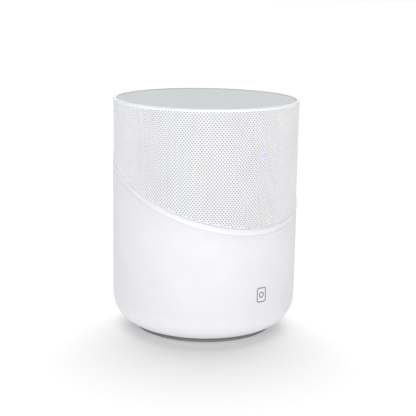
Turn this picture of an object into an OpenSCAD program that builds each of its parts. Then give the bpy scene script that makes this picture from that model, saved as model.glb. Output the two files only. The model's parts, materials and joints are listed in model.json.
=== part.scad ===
// Compact smart speaker: a round cabinet with a slanted grille line, an upward
// woofer under an acoustic reflector, two front tweeters and a touch top.
// The front faces -Y, the connectors face +Y, and the foot stands on z = 0.

/* [Body] */
// Outer diameter of the cabinet
body_d = 156; // [155:0.5:158]
// Overall height, foot included
body_h = 194; // [194:1:198]
// Radius of the rounded lower edge
corner_r = 25; // [23:1:26]
// Height of the foot ring
foot_h = 2.4; // [2:0.2:3]
// Outer radius of the foot ring
foot_r = 59; // [57:1:61]

/* [Slanted line] */
// Height of the slanted line at the cabinet's sides
slant_mid = 129.5; // [128:0.5:132]
// How far the line drops at the front and rises at the back
slant_drop = 31.7; // [28:0.5:32]
// Height of the trim band below the line
trim_h = 5.4; // [4.8:0.2:5.6]

/* [Grille and top] */
// How far the grille sits inside the cabinet's outer face
grille_inset = 0.6; // [0.3:0.1:0.7]
// Thickness of the perforated grille
grille_t = 1.2; // [1:0.1:1.3]
// Height of the plain rim above the grille
rim_h = 1.2; // [1:0.1:1.6]
// Depth of the touch panel below the rim
panel_recess = 0.6; // [0.5:0.1:0.8]

/* [Connector bay] */
// Width of the bay at the back
bay_w = 80; // [78:1:80]
// Height of the bay
bay_h = 38; // [36:1:40]
// Height of the bay's middle above the table
bay_z = 34; // [33:1:35]

/* [Drivers] */
// Outer radius of the woofer's flange
woofer_r = 67; // [66:0.5:67]
// Height of the baffle's top face
baffle_z = 90; // [89:0.5:90]
// Height of the tweeters' axes
tweeter_z = 167; // [166.5:0.5:167.5]
// Angle of each tweeter from straight ahead
tweeter_angle = 38; // [34:1:42]

/* [Badge and indicator] */
// Height of the badge's middle
badge_z = 42.4; // [40:1:50]
// Width of the badge
badge_w = 9.4; // [8:0.2:11]
// Height of the badge
badge_h = 12.6; // [11:0.2:14]
// Height of the status light
light_z = 156.7; // [155:0.5:158]

/* [Hidden] */
$fn = 96;
wall = 2.8;
R = body_d / 2;
Ri = R - wall;
gap = 0.15;
slant_angle = atan(slant_drop / R);
arc_steps = 20;
far = 200;
front = -90;

rim_z = body_h - rim_h;
panel_top = body_h - panel_recess;
panel_t = 2.2;
panel_z = panel_top - panel_t;
rim_w = 3;
rim_skirt = 3.5;
frame_top = rim_z - rim_skirt - 0.05;
grille_r = R - grille_inset;
grille_ri = grille_r - grille_t;
liner_t = 0.35;
frame_r = grille_ri - liner_t - 0.15;
frame_t = 2.7;

floor_z = foot_h + wall;
base_hole_r = 46;
base_plate_r = 52;
base_rebate = 1.4;
base_screw_r = 49;

bay_back_y = 62;
bay_wall = 2;
bay_corner = 6;
panel_face_y = bay_back_y + bay_wall;

power_z = 11;
main_z = 24;
board_t = 1.6;
main_top = main_z + board_t;
seat = 0.1;
post_angles = [-16, 28, 152, 196];
posts = [for (a = post_angles) 49.5 * [cos(a), sin(a)]];

inlet_x = 26;
ethernet_x = 5;
usb_x = -12.75;
audio_x = -26;
button_x = -34;
jack_r = 1.8;
jack_z = main_top + 4;
button_r = 1.75;
button_z = main_top + 3.6;

flange_t = 3;
flange_z = baffle_z + flange_t;
baffle_t = 4;
baffle_r = Ri - 2;
baffle_screw_r = 70.2;
woofer_screw_r = 63.5;
yoke_z = baffle_z - 60;
magnet_z = yoke_z + 6;
top_plate_z = magnet_z + 14;
basket_z = top_plate_z + 6;
spider_z = basket_z + 6.2;
cone_z = basket_z + 10;
cone_edge_z = flange_z;
cone_edge_r = 50;
cone_lip_r = cone_edge_r - 2.4;
coil_r = 16;
cone_neck_r = coil_r + 0.4;

chassis_r = 59;
chassis_z = tweeter_z - 16.8;
chassis_top = tweeter_z + 16.8;
deck_z = chassis_top + 0.4;
deck_t = 2.4;
tweeter_face = 66;
touch_z = panel_z - 2;
harness_angle = 18;
harness_r = baffle_screw_r;
harness_in = 61;
reflector_tip = 103;
reflector_r = 62;
reflector_screw_r = 59;
deck_r = frame_r - frame_t - 0.3;
deck_screw_r = deck_r - 2.6;
top_screw_r = chassis_r - 3.5;
touch_r = 63;
mic_r = 57;
mic_port_r = 0.45;
lead_angle = 205;

// ---------- shapes that repeat ----------

// Points along an arc from angle a0 to a1
function arc(x, y, r, a0, a1, n = arc_steps) =
    [for (i = [0 : n]) let (a = a0 + (a1 - a0) * i / n) [x + r * cos(a), y + r * sin(a)]];

// A flat ring from z = 0 up
module ring(r_out, r_in, h) {
    difference() {
        cylinder(r = r_out, h = h);
        translate([0, 0, -1]) cylinder(r = r_in, h = h + 2);
    }
}

// Everything below the slanted plane, raised by up
module below_slant(up = 0) {
    translate([0, 0, slant_mid + up])
        rotate([slant_angle, 0, 0])
            translate([-far, -far, -2 * far]) cube(2 * far);
}

// Everything above the slanted plane, raised by up
module above_slant(up = 0) {
    translate([0, 0, slant_mid + up])
        rotate([slant_angle, 0, 0])
            translate([-far, -far, 0]) cube(2 * far);
}

// A rectangle with round corners, centred
module rounded_rect(w, h, r) {
    square([w - 2 * r, h], center = true);
    square([w, h - 2 * r], center = true);
    for (x = [-1, 1], y = [-1, 1]) translate([x * (w / 2 - r), y * (h / 2 - r)]) circle(r);
}

// A block with round corners that runs along Y from y0 to y1
module block_y(x, z, w, h, r, y0, y1) {
    translate([x, y1, z]) rotate([90, 0, 0]) linear_extrude(y1 - y0) rounded_rect(w, h, r);
}

// A box given by its lowest corner and its size, kept readable for parts on boards
module box_at(x, y, z, w, d, h) {
    translate([x, y, z]) cube([w, d, h]);
}

// A rod along Y from y0 to y1
module rod_y(x, z, r, y0, y1) {
    translate([x, y1, z]) rotate([90, 0, 0]) cylinder(r = r, h = y1 - y0);
}

// Copies placed on a circle of radius r, the first at angle a0
module around(n, r, a0 = 0) {
    for (i = [0 : n - 1]) rotate(a0 + i * 360 / n) translate([r, 0, 0]) children();
}

// A pan-head screw whose head sits on z = 0, with its shank below
module screw(shank_r, shank_l, head_r, head_h) {
    translate([0, 0, -shank_l]) cylinder(r = shank_r, h = shank_l);
    difference() {
        cylinder(r = head_r, h = head_h);
        translate([0, 0, head_h / 2]) cylinder(r = head_r / 2, h = head_h, $fn = 6);
    }
}

// A wire of radius r along a short list of points
module wire(points, r) {
    for (i = [0 : len(points) - 2]) {
        hull() {
            translate(points[i]) sphere(r, $fn = 16);
            translate(points[i + 1]) sphere(r, $fn = 16);
        }
    }
}

// ---------- cabinet ----------

// Outline of the cabinet's cup, shrunk by inset, closed on the axis
function cup_outline(inset) = concat(
    [[0, foot_h + inset]],
    arc(R - corner_r, foot_h + corner_r, corner_r - inset, -90, 0),
    [[R - inset, body_h], [0, body_h]]
);

module cup_solid(inset = 0) {
    rotate_extrude() polygon(cup_outline(inset));
}

module foot_ring() {
    color("gainsboro") {
        difference() {
            ring(foot_r, base_hole_r - 2, foot_h);
            translate([0, 0, -1]) ring(foot_r - 4, base_hole_r + 2, 1.5);
        }
    }
}

module base_plate() {
    color("whitesmoke") difference() {
        union() {
            translate([0, 0, foot_h]) cylinder(r = base_plate_r, h = base_rebate);
            translate([0, 0, foot_h]) cylinder(r = base_hole_r - gap, h = base_rebate + 2.2);
        }
        around(4, base_screw_r, 45) translate([0, 0, foot_h - 1]) cylinder(r = 1.6, h = 4);
        around(4, base_screw_r, 45) translate([0, 0, foot_h - 1]) cylinder(r = 2.7, h = 1.5);
    }
}

module base_screws() {
    color("dimgray") around(4, base_screw_r, 45)
        translate([0, 0, foot_h + 0.5]) mirror([0, 0, 1]) screw(1.2, 6, 2.5, 0.5);
}

// The mark on the front: a plain loudspeaker outline, drawn flat in X and Z
module badge_outline(grow = 0) {
    line = 0.8 + 2 * grow;
    difference() {
        rounded_rect(badge_w + 2 * grow, badge_h + 2 * grow, 2 + grow);
        rounded_rect(badge_w + 2 * grow - 2 * line, badge_h + 2 * grow - 2 * line, 1.2);
    }
    difference() {
        circle(2.6 + grow);
        circle(2.6 + grow - line);
    }
}

module badge_prism(grow, r_in, r_out) {
    intersection() {
        translate([0, 0, badge_z]) rotate([90, 0, 0]) linear_extrude(R + 5) badge_outline(grow);
        translate([0, 0, badge_z - badge_h]) ring(r_out, r_in, 2 * badge_h);
    }
}

module badge() {
    color("darkgray") badge_prism(0, R - 0.3, R);
}

module bay_block(grow) {
    block_y(0, bay_z, bay_w + 2 * grow, bay_h + 2 * grow, bay_corner + grow, bay_back_y - 2, R + 5);
}

module lower_housing() {
    color("white") difference() {
        union() {
            intersection() {
                difference() {
                    cup_solid();
                    cup_solid(wall);
                }
                below_slant(-trim_h);
            }
            around(6, baffle_screw_r, 0)
                translate([0, 0, baffle_z - baffle_t - 16]) baffle_boss();
            around(4, base_screw_r, 45) translate([0, 0, floor_z - 0.6]) cylinder(r = 3.1, h = 5.4);
        }
        translate([0, 0, foot_h - 1]) cylinder(r = base_plate_r + gap, h = 1 + base_rebate);
        cylinder(r = base_hole_r, h = 20);
        around(4, base_screw_r, 45) cylinder(r = 1.25, h = foot_h + 7);
        around(6, baffle_screw_r, 0)
            translate([0, 0, baffle_z - baffle_t - 10]) cylinder(r = 1.3, h = 20);
        bay_block(gap);
        badge_prism(0.05, R - 0.35, R + 5);
    }
}

// A screw boss joined to the cabinet's wall
module baffle_boss() {
    intersection() {
        union() {
            cylinder(r = 3, h = 16);
            translate([0, -3, 0]) cube([Ri - baffle_screw_r + 1, 6, 16]);
        }
        translate([-baffle_screw_r, 0, 0]) cylinder(r = Ri + 0.5, h = 16);
    }
}

module slant_trim() {
    groove = 0.4;
    color("white") intersection() {
        ring(R, Ri - gap + 0.05, body_h);
        below_slant(0);
        above_slant(groove - trim_h);
    }
}

// ---------- grille ----------

module grille_band(r_out, r_in, up, top) {
    intersection() {
        ring(r_out, r_in, top);
        above_slant(up);
    }
}

module grille_sleeve() {
    color("whitesmoke") grille_band(grille_r, grille_ri, gap, rim_z - 0.1);
}

module grille_liner() {
    color("lightgray") grille_band(grille_ri - 0.05, grille_ri - 0.05 - liner_t, gap + 0.3, rim_z - 0.3);
}

module grille_frame() {
    ribs = 10;
    skirt_h = 6;
    window_w = 40;
    window_top = deck_z - 3;
    color("white") difference() {
        union() {
            intersection() {
                grille_band(Ri - gap, Ri - frame_t, -skirt_h, deck_z);
                below_slant(1.5);
            }
            grille_band(frame_r, frame_r - frame_t, gap, frame_top);
            translate([0, 0, deck_z - 2.3]) ring(frame_r - 1, deck_r - 5, 2.2);
        }
        intersection() {
            above_slant(5);
            for (i = [0 : ribs - 1])
                rotate(front + i * 360 / ribs)
                    translate([frame_r - 10, -window_w / 2, 0]) cube([20, window_w, window_top]);
        }
        around(6, deck_screw_r, 0) translate([0, 0, deck_z - 5]) cylinder(r = 1.25, h = 5);
    }
}

module top_rim() {
    round_r = 0.8;
    inner_r = R - rim_w;
    skirt_t = 0.5;
    color("white") rotate_extrude() polygon(concat(
        [[inner_r, rim_z - rim_skirt], [inner_r + skirt_t, rim_z - rim_skirt], [inner_r + skirt_t, rim_z],
            [R, rim_z]],
        arc(R - round_r, body_h - round_r, round_r, 0, 90, 8),
        arc(inner_r + 0.4, body_h - 0.4, 0.4, 90, 180, 4)
    ));
}

module top_panel() {
    edge_r = R - rim_w - 0.3;
    color([0.8, 0.82, 0.82]) difference() {
        rotate_extrude() polygon([
            [0, panel_z], [edge_r, panel_z], [edge_r, panel_top - 0.4], [edge_r - 0.4, panel_top],
            [0, panel_top]
        ]);
        around(4, mic_r, 45) translate([0, 0, panel_z - 1]) cylinder(r = mic_port_r, h = panel_t + 2);
    }
}

// ---------- connector bay ----------

module io_panel() {
    color("gainsboro") difference() {
        intersection() {
            cup_solid();
            block_y(0, bay_z, bay_w, bay_h, bay_corner, bay_back_y, R + 5);
        }
        block_y(0, bay_z, bay_w - 2 * bay_wall, bay_h - 2 * bay_wall, bay_corner - bay_wall,
            panel_face_y, R + 5);
        box_at(inlet_x - 10.1, bay_back_y - 1, main_top, 20.2, 5, 13.2);
        box_at(ethernet_x - 8.1, bay_back_y - 1, main_top, 16.2, 5, 13.7);
        box_at(usb_x - 7.35, bay_back_y - 1, main_top, 14.7, 5, 7.2);
        rod_y(audio_x, jack_z, 4.1, bay_back_y - 1, R);
        rod_y(button_x, button_z, button_r + gap, bay_back_y - 1, R);
    }
}

module mains_inlet() {
    z = main_top + seat + 6.5;
    color("black") difference() {
        box_at(inlet_x - 10, 46, main_top + seat, 20, panel_face_y - 46, 13);
        translate([0, 1, 0]) {
            rod_y(inlet_x - 4.3, z, 4, 51, panel_face_y);
            rod_y(inlet_x + 4.3, z, 4, 51, panel_face_y);
            box_at(inlet_x - 4.3, 51, z - 4, 8.6, panel_face_y - 51, 8);
        }
        for (x = [-4.3, 4.3]) rod_y(inlet_x + x, z, 1.25, 47, 53);
    }
}

module mains_pins() {
    z = main_top + seat + 6.5;
    color("silver") for (x = [-4.3, 4.3]) rod_y(inlet_x + x, z, 1.2, 47.5, 61);
}

module ethernet_jack() {
    z = main_top + seat;
    color("silver") difference() {
        box_at(ethernet_x - 8, 45, z, 16, panel_face_y - 45, 13.5);
        box_at(ethernet_x - 5.9, 51, z + 3.4, 11.8, panel_face_y - 50, 8);
        box_at(ethernet_x - 3.2, 51, z + 1.6, 6.4, panel_face_y - 50, 2.4);
    }
}

module ethernet_contacts() {
    z = main_top + seat + 11.4;
    color("gold") for (i = [0 : 7])
        box_at(ethernet_x - 3.75 + i * 1.02, 51.1, z - 1.6, 0.4, 8, 0.5);
}

module usb_port() {
    z = main_top + seat;
    color("silver") difference() {
        box_at(usb_x - 7.25, 46, z, 14.5, panel_face_y + 0.4 - 46, 7);
        box_at(usb_x - 6.25, 52, z + 0.9, 12.5, panel_face_y - 50, 5.2);
    }
}

module usb_tongue() {
    z = main_top + seat + 1.5;
    color("black") box_at(usb_x - 5.6, 52.05, z, 11.2, 8.8, 1.9);
}

module audio_jack() {
    color("black") difference() {
        union() {
            box_at(audio_x - 4, 50, main_top + seat, 8, 11.9, 7.5);
            rod_y(audio_x, jack_z, 4, 61.8, panel_face_y + 0.4);
        }
        rod_y(audio_x, jack_z, jack_r, 50.6, panel_face_y + 1);
    }
}

module service_button() {
    color("gray") {
        rod_y(button_x, button_z, button_r, 60.8, panel_face_y + 0.6);
        rod_y(button_x, button_z, button_r + 0.8, 60.8, 61.6);
    }
}

module service_switch() {
    color("dimgray") {
        box_at(button_x - 3, 54.5, main_top + seat, 6, 4, 7);
        rod_y(button_x, button_z, 1.2, 58.4, 59.8);
    }
}

// ---------- boards ----------

module board_holes(z) {
    for (p = posts) translate([p[0], p[1], z - 1]) cylinder(r = 1.6, h = board_t + 2);
}

module power_board() {
    color("darkgreen") difference() {
        translate([0, 0, power_z]) cylinder(r = 60, h = board_t);
        board_holes(power_z);
    }
}

module power_transformer() {
    z = power_z + board_t;
    color("goldenrod") {
        box_at(-34, -57, z, 28, 22, 3);
        box_at(-34, -57, z + 13, 28, 22, 3);
        box_at(-28, -53, z + 3, 16, 14, 10);
    }
}

module power_capacitors() {
    z = power_z + board_t;
    color("midnightblue") for (p = [[6, -50, 6.5], [21, -46, 6.5], [34, -37, 5]])
        translate([p[0], p[1], z]) cylinder(r = p[2], h = 3 * p[2]);
}

module power_filter() {
    z = power_z + board_t;
    color("saddlebrown") {
        translate([0, 0, z]) ring(9, 4.5, 8);
        box_at(14, -8, z, 8, 18, 9);
        box_at(-34, -8, z, 18, 7, 9);
        box_at(-30, 14, z, 22, 6, 6);
    }
}

module board_posts() {
    color("goldenrod") difference() {
        for (p = posts) translate([p[0], p[1], 0]) {
            translate([0, 0, floor_z + 0.1]) cylinder(r = 3, h = power_z - floor_z - 0.1);
            translate([0, 0, power_z + board_t]) cylinder(r = 3, h = main_z - power_z - board_t);
        }
        for (p = posts) translate([p[0], p[1], main_z - 7]) cylinder(r = 1.5, h = 20);
    }
}

module board_screws() {
    color("silver") for (p = posts) translate([p[0], p[1], main_top]) screw(1.4, 7, 2.8, 1.8);
}

module main_board() {
    color("darkgreen") difference() {
        intersection() {
            translate([0, 0, main_z]) cylinder(r = 68, h = board_t);
            translate([-66, -30, main_z - 1]) cube([132, 90, 10]);
        }
        board_holes(main_z);
    }
}

module main_board_chips() {
    color([0.1, 0.1, 0.1]) {
        box_at(-12, -8, main_top, 14, 14, 1.4);
        box_at(10, -6, main_top, 10, 10, 1.2);
        box_at(-8, 16, main_top, 16, 12, 1.8);
        box_at(-60, -3, main_top, 12, 18, 1.4);
        box_at(50, 0, main_top, 8, 12, 3);
        for (i = [0 : 5]) box_at(-24 + i * 9, -18, main_top, 4, 5, 2);
    }
}

module amplifier_heatsink() {
    fins = 7;
    color("silver") {
        box_at(-62, -8, main_top + 1.4, 16, 28, 2.5);
        for (i = [0 : fins - 1]) box_at(-62 + i * 2.4, -8, main_top + 3.9, 1.2, 28, 15);
    }
}

// ---------- woofer ----------

module woofer_baffle() {
    color("black") difference() {
        translate([0, 0, baffle_z - baffle_t]) cylinder(r = baffle_r, h = baffle_t);
        translate([0, 0, baffle_z - baffle_t - 1]) cylinder(r = 60.5, h = baffle_t + 2);
        around(6, baffle_screw_r, 0)
            translate([0, 0, baffle_z - baffle_t - 1]) cylinder(r = 1.6, h = baffle_t + 2);
        around(4, woofer_screw_r, 45)
            translate([0, 0, baffle_z - baffle_t - 1]) cylinder(r = 1.5, h = baffle_t + 2);
        rotate(harness_angle) translate([harness_r, 0, baffle_z - baffle_t - 1])
            cylinder(r = 2.4, h = baffle_t + 2);
    }
}

module baffle_seal() {
    color("dimgray") translate([0, 0, baffle_z - baffle_t + 0.5])
        ring(Ri - 0.05, baffle_r + 0.05, baffle_t - 1);
}

module baffle_screws() {
    color("silver") around(6, baffle_screw_r, 0) translate([0, 0, baffle_z]) screw(1.2, 12, 2.6, 1.8);
}

module woofer_basket() {
    arm_r = 60;
    hub_r = 44;
    color([0.2, 0.2, 0.2]) difference() {
        rotate_extrude() polygon([
            [19.5, basket_z], [hub_r, basket_z], [hub_r, basket_z + 5], [arm_r, baffle_z],
            [woofer_r, baffle_z], [woofer_r, flange_z], [57.6, flange_z], [57.6, baffle_z - 1],
            [hub_r - 2, basket_z + 6], [hub_r - 5, basket_z + 6], [hub_r - 5, basket_z + 2],
            [19.5, basket_z + 2]
        ]);
        for (i = [0 : 5]) rotate(i * 60 + 15)
            translate([36, -16, basket_z + 9]) cube([40, 32, baffle_z - basket_z - 14]);
        around(4, woofer_screw_r, 45) translate([0, 0, baffle_z - 1]) cylinder(r = 1.6, h = flange_t + 2);
    }
}

module woofer_top_plate() {
    color("silver") translate([0, 0, top_plate_z]) ring(40, 17.8, basket_z - top_plate_z);
}

module woofer_magnet() {
    color([0.15, 0.15, 0.15]) translate([0, 0, magnet_z]) ring(42, 20, top_plate_z - magnet_z);
}

module woofer_yoke() {
    color("silver") translate([0, 0, yoke_z]) {
        cylinder(r = 38, h = magnet_z - yoke_z);
        cylinder(r = 15, h = basket_z - yoke_z);
    }
}

module woofer_gasket() {
    color("dimgray") rotate_extrude() polygon([
        [woofer_r, flange_z], [woofer_r, flange_z + 2.2], [58.6, flange_z + 2.2],
        [58.6, flange_z + 1], [62.2, flange_z + 1], [62.2, flange_z]
    ]);
}

module woofer_screws() {
    color("black") around(4, woofer_screw_r, 45)
        translate([0, 0, flange_z + 2.2]) screw(1.35, 9, 2.8, 1.8);
}

// The gasket is slit where the flange screws pass through it
module woofer_gasket_drilled() {
    difference() {
        woofer_gasket();
        around(4, woofer_screw_r, 45) translate([0, 0, flange_z - 1]) cylinder(r = 1.5, h = 5);
    }
}

// Height of the cone's upper face at radius r, a shallow curve from neck to edge
function cone_at(r) = let (t = (r - cone_neck_r) / (cone_lip_r - cone_neck_r))
    cone_z + (cone_edge_z - cone_z) * (1.25 * t - 0.25 * t * t);

module woofer_cone() {
    steps = 12;
    t = 0.8;
    radii = [for (i = [0 : steps]) cone_neck_r + (cone_lip_r - cone_neck_r) * i / steps];
    color([0.12, 0.12, 0.12]) rotate_extrude() polygon(concat(
        [for (r = radii) [r, cone_at(r)]],
        [[cone_edge_r, cone_edge_z], [cone_edge_r, cone_edge_z - t]],
        [for (i = [steps : -1 : 0]) [radii[i], cone_at(radii[i]) - t]]
    ));
}

module woofer_dust_cap() {
    cap_r = 19;
    cap_h = 6;
    ball_r = (cap_r * cap_r + cap_h * cap_h) / (2 * cap_h);
    base_z = cone_at(cap_r) + 0.28;
    half = asin(cap_r / ball_r);
    color([0.1, 0.1, 0.1]) translate([0, 0, base_z + cap_h - ball_r]) rotate_extrude() polygon(concat(
        arc(0, 0, ball_r, 90 - half, 90, 10),
        arc(0, 0, ball_r - 0.7, 90, 90 - half, 10)
    ));
}

module woofer_voice_coil() {
    color("peru") {
        translate([0, 0, basket_z - 10]) ring(coil_r + 0.3, coil_r, cone_z - basket_z + 10.5);
        translate([0, 0, basket_z - 8]) ring(coil_r + 1, coil_r + 0.3, 10);
    }
}

module woofer_surround() {
    roll_r = 3.6;
    roll_mid = cone_edge_r + 4;
    lip_z = flange_z + 0.05;
    t = 0.6;
    color([0.08, 0.08, 0.08]) rotate_extrude() polygon(concat(
        [[cone_edge_r - 2, lip_z]],
        arc(roll_mid, lip_z, roll_r - t, 180, 0, 14),
        [[62, lip_z], [62, lip_z + t]],
        arc(roll_mid, lip_z, roll_r, 0, 180, 14),
        [[cone_edge_r - 2, lip_z + t]]
    ));
}

module woofer_spider() {
    steps = 36;
    inner = coil_r + 0.35;
    outer = 41.8;
    waves = 5;
    flat = 3.5;
    function wave(r) = (r < inner + flat || r > outer - flat) ? 0
        : 0.9 * sin(360 * waves * (r - inner - flat) / (outer - inner - 2 * flat));
    radii = [for (i = [0 : steps]) inner + (outer - inner) * i / steps];
    color("khaki") rotate_extrude() polygon(concat(
        [for (r = radii) [r, spider_z + wave(r)]],
        [for (i = [steps : -1 : 0]) [radii[i], spider_z + 0.5 + wave(radii[i])]]
    ));
}

module woofer_leads() {
    r = 0.9;
    color("firebrick") rotate(lead_angle) for (y = [-3, 3]) wire([
        [52, y, main_top + r + 0.1], [54, y, 42], [44 + r + 0.1, y, basket_z + 3]
    ], r);
}

// ---------- upper chamber ----------

// Height of the reflector's lower face at radius r
function reflector_at(r) = reflector_tip + (chassis_z - 2.5 - reflector_tip) * pow(r / reflector_r, 0.55);

module acoustic_reflector() {
    steps = 16;
    t = 2.4;
    radii = [for (i = [0 : steps]) reflector_r * pow(i / steps, 1.6)];
    color([0.15, 0.15, 0.15]) difference() {
        rotate_extrude() polygon(concat(
            [for (r = radii) [r, reflector_at(r)]],
            [[reflector_r, chassis_z - 0.1], [reflector_r - 8, chassis_z - 0.1]],
            [for (i = [steps - 2 : -1 : 3]) [radii[i] - t * 0.6, reflector_at(radii[i]) + t]],
            [[0, reflector_at(radii[3]) + t]]
        ));
        around(3, reflector_screw_r, 90) translate([0, 0, reflector_tip]) cylinder(r = 1.5, h = 60);
        around(3, reflector_screw_r, 90)
            translate([0, 0, reflector_tip]) cylinder(r = 2.8, h = chassis_z - 3 - reflector_tip);
    }
}

// Children drawn along +X from the cabinet's axis, turned to one tweeter's direction
module at_tweeter(side) {
    rotate(front + side * tweeter_angle) translate([0, 0, tweeter_z]) rotate([0, 90, 0]) children();
}

module tweeter_chassis() {
    barrel_r = 16.2;
    flange_h = 3;
    color([0.2, 0.2, 0.2]) difference() {
        union() {
            translate([0, 0, chassis_z]) ring(chassis_r, chassis_r - 3, chassis_top - chassis_z);
            translate([0, 0, chassis_z]) ring(reflector_r, chassis_r - 7, flange_h);
            for (s = [-1, 1]) at_tweeter(s) translate([0, 0, 50]) cylinder(r = barrel_r, h = 14);
            around(3, top_screw_r, 30) translate([0, 0, chassis_top - 14]) cylinder(r = 3.6, h = 14);
        }
        for (s = [-1, 1]) at_tweeter(s) translate([0, 0, 30]) cylinder(r = 12.2, h = 40);
        around(3, top_screw_r, 30) translate([0, 0, chassis_top - 12]) cylinder(r = 1.3, h = 20);
        around(3, reflector_screw_r, 90) translate([0, 0, chassis_z - 1]) cylinder(r = 1.3, h = 9);
    }
}

module tweeter_motor(side) {
    color("silver") at_tweeter(side) difference() {
        union() {
            translate([0, 0, tweeter_face - 1.9]) cylinder(r = 15.8, h = 1.9);
            translate([0, 0, tweeter_face - 18]) cylinder(r = 12.1, h = 17);
        }
        translate([0, 0, tweeter_face - 14]) ring(10.3, 8.9, 20);
        translate([0, 0, tweeter_face - 3]) cylinder(r = 12.2, h = 10);
    }
}

module tweeter_dome(side) {
    cap_r = 9.8;
    cap_h = 3.4;
    ball_r = (cap_r * cap_r + cap_h * cap_h) / (2 * cap_h);
    half = asin(cap_r / ball_r);
    base = tweeter_face - 2.4;
    color("lightsteelblue") at_tweeter(side) {
        translate([0, 0, base + cap_h - ball_r]) rotate_extrude() polygon(concat(
            arc(0, 0, ball_r, 90 - half, 90, 8),
            arc(0, 0, ball_r - 0.4, 90, 90 - half, 8)
        ));
        translate([0, 0, base - 6]) ring(9.75, 9.45, 6.1);
        translate([0, 0, base]) ring(11.8, 9.6, 0.4);
    }
}

module top_deck() {
    lip_r = deck_screw_r - 3.4;
    color("white") difference() {
        union() {
            translate([0, 0, deck_z]) cylinder(r = deck_r, h = deck_t);
            translate([0, 0, deck_z]) ring(lip_r, lip_r - 2, panel_z - deck_z - 0.1);
            around(4, 46, 0) translate([0, 0, deck_z]) cylinder(r = 2.5, h = touch_z - deck_z - 0.1);
        }
        around(3, top_screw_r, 30) translate([0, 0, deck_z - 1]) cylinder(r = 1.6, h = 8);
        around(6, deck_screw_r, 0) translate([0, 0, deck_z - 1]) cylinder(r = 1.6, h = 8);
        rotate(harness_angle) translate([harness_in, 0, deck_z - 1]) cylinder(r = 2.2, h = 8);
    }
}

module touch_board() {
    color("darkgreen") difference() {
        translate([0, 0, touch_z]) cylinder(r = touch_r, h = board_t);
        around(4, mic_r, 45) translate([0, 0, touch_z - 1]) cylinder(r = mic_port_r, h = 4);
    }
    color([0.1, 0.1, 0.1]) box_at(-8, -6, touch_z - 1.2, 12, 12, 1.2);
}

module microphones() {
    color("gold") around(4, mic_r, 45) translate([-1.9, -1.3, touch_z - 1.2]) cube([3.8, 2.6, 1.15]);
}

module upper_screws() {
    color("silver") {
        around(3, top_screw_r, 30) translate([0, 0, deck_z + deck_t]) screw(1.2, 12, 2.6, 1.4);
        around(6, deck_screw_r, 0) translate([0, 0, deck_z + deck_t]) screw(1.15, 4.5, 2.5, 1.4);
        around(3, reflector_screw_r, 90)
            translate([0, 0, chassis_z - 3]) mirror([0, 0, 1]) screw(1.2, 9, 2.6, 1.4);
    }
}

module indicator_board() {
    y = -chassis_r - 1.8;
    color("darkgreen") box_at(-7, y, chassis_z + 3.3, 14, board_t, light_z - chassis_z + 1);
    color("white") box_at(-1.5, y - 1, light_z - 1.5, 3, 1, 3);
}

module light_pipe() {
    start = -chassis_r - 3;
    color([0.75, 0.72, 1]) {
        rod_y(0, light_z, 2, -frame_r + 0.2, start);
        rod_y(0, light_z, 3.2, start - 1.5, start);
    }
}

module wifi_antennas() {
    color("darkgreen") for (a = [62, 118]) rotate(a)
        translate([chassis_r + 0.2, -11, tweeter_z - 5]) cube([0.8, 22, 10]);
}

module harness_grommet() {
    color([0.1, 0.1, 0.1]) rotate(harness_angle)
        translate([harness_r, 0, baffle_z - baffle_t - 0.8]) difference() {
            union() {
                cylinder(r = 2.35, h = baffle_t + 1.6);
                cylinder(r = 2.9, h = 0.8);
                translate([0, 0, baffle_t + 0.8]) cylinder(r = 2.9, h = 0.8);
            }
            translate([0, 0, -1]) cylinder(r = 1.6, h = baffle_t + 4);
        }
}

module wiring_harness() {
    bundle_r = 1.4;
    color("firebrick") rotate(harness_angle) wire([
        [60, 0, main_top + bundle_r + 0.1], [harness_r, 0, 60], [harness_r, 0, chassis_z - 6],
        [harness_in, 0, deck_z - 4], [harness_in, 0, touch_z - bundle_r - 0.1]
    ], bundle_r);
}

foot_ring();
base_plate();
base_screws();
lower_housing();
slant_trim();
grille_sleeve();
grille_liner();
grille_frame();
top_rim();
top_panel();
badge();
io_panel();
mains_inlet();
mains_pins();
ethernet_jack();
ethernet_contacts();
usb_port();
usb_tongue();
audio_jack();
service_button();
service_switch();
power_board();
power_transformer();
power_capacitors();
power_filter();
main_board();
main_board_chips();
amplifier_heatsink();
board_posts();
board_screws();
woofer_baffle();
baffle_seal();
baffle_screws();
woofer_basket();
woofer_top_plate();
woofer_magnet();
woofer_yoke();
woofer_gasket_drilled();  // woofer_gasket
woofer_screws();
woofer_cone();
woofer_dust_cap();
woofer_voice_coil();
woofer_surround();
woofer_spider();
woofer_leads();
acoustic_reflector();
tweeter_chassis();
tweeter_motor(-1);  // left_tweeter
tweeter_dome(-1);  // left_tweeter_dome
tweeter_motor(1);  // right_tweeter
tweeter_dome(1);  // right_tweeter_dome
top_deck();
touch_board();
microphones();
upper_screws();
indicator_board();
light_pipe();
wifi_antennas();
harness_grommet();
wiring_harness();
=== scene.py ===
import json
import math

import bmesh
import bpy
import numpy as np
from mathutils import Matrix, Vector


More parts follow.
